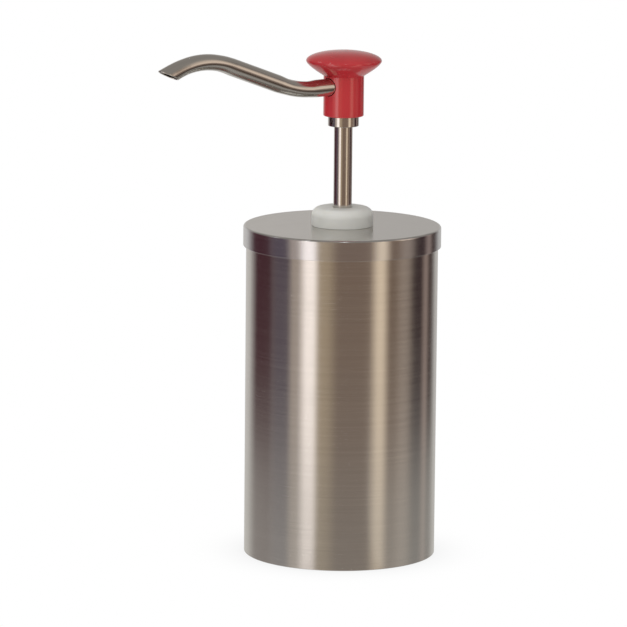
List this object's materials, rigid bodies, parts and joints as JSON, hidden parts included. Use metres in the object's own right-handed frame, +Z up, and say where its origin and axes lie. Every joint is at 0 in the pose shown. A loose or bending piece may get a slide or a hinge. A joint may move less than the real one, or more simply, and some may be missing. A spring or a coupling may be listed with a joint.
{
  "type": "condiment pump dispenser",
  "caption": "Brushed stainless can with a push-on lid, carrying a spring-return piston pump with a gooseneck spout and a red mushroom knob.",
  "frame": {"origin": "centre of the can's flat underside, on the pump's axis", "axes": "+Z up along the pump's axis, -Y the way the spout points at rest, +X to the right seen from the spout's tip side"},
  "size_m": [0.15, 0.2517, 0.3931],
  "materials": {
    "can_steel": "fine brushing round the can",
    "pump_steel": "satin, lengthwise on the tubes",
    "spring_steel": "drawn wire",
    "white_nylon": "turned, slightly translucent",
    "red_plastic": "moulded gloss",
    "seal_rubber": "moulded",
    "clear_silicone": "cut sheet"
  },
  "bodies": {
    "container": {"container_wall": "can_steel", "container_base": "can_steel"},
    "pump": {"lid": "can_steel", "lid_gasket": "clear_silicone", "guide_nut": "white_nylon", "cylinder_head": "pump_steel", "cylinder_tube": "pump_steel", "guide_bush": "white_nylon", "stem_wiper_ring": "seal_rubber", "foot_valve_body": "white_nylon", "foot_valve_o_ring": "seal_rubber", "ball_cage_pin": "pump_steel"},
    "inlet_ball": {"inlet_ball": "pump_steel"},
    "spring": {"return_spring": "spring_steel"},
    "plunger": {"thrust_washer": "pump_steel", "piston_body": "white_nylon", "piston_ring_lower": "seal_rubber", "piston_ring_upper": "seal_rubber", "stem_tube": "pump_steel", "stop_ring": "white_nylon", "stop_circlip": "spring_steel", "outlet_valve_bolt": "pump_steel", "outlet_ball_pin": "pump_steel", "head_block": "pump_steel", "stem_o_ring": "seal_rubber", "stem_set_screw": "pump_steel", "spout_o_ring": "seal_rubber", "spout_tube": "pump_steel", "knob": "red_plastic"},
    "outlet_ball": {"outlet_ball": "pump_steel"}
  },
  "joints": [
    {"name": "lid_lift", "type": "slide", "parent": "container", "child": "pump", "axis": [0, 0, 1], "range_m": [0, 0.265]},
    {"name": "inlet_ball_lift", "type": "slide", "parent": "pump", "child": "inlet_ball", "axis": [0, 0, 1], "range_m": [0, 0.003]},
    {"name": "plunger_swivel", "type": "hinge", "parent": "pump", "child": "spring", "pos_m": [0, 0, 0.1], "axis": [0, 0, 1], "continuous": true},
    {"name": "plunger_press", "type": "slide", "parent": "spring", "child": "plunger", "axis": [0, 0, -1], "range_m": [0, 0.055], "stiffness_N_per_m": 420, "springref_m": -0.035, "deforming": ["return_spring"]},
    {"name": "outlet_ball_lift", "type": "slide", "parent": "plunger", "child": "outlet_ball", "axis": [0, 0, 1], "range_m": [0, 0.003]}
  ]
}
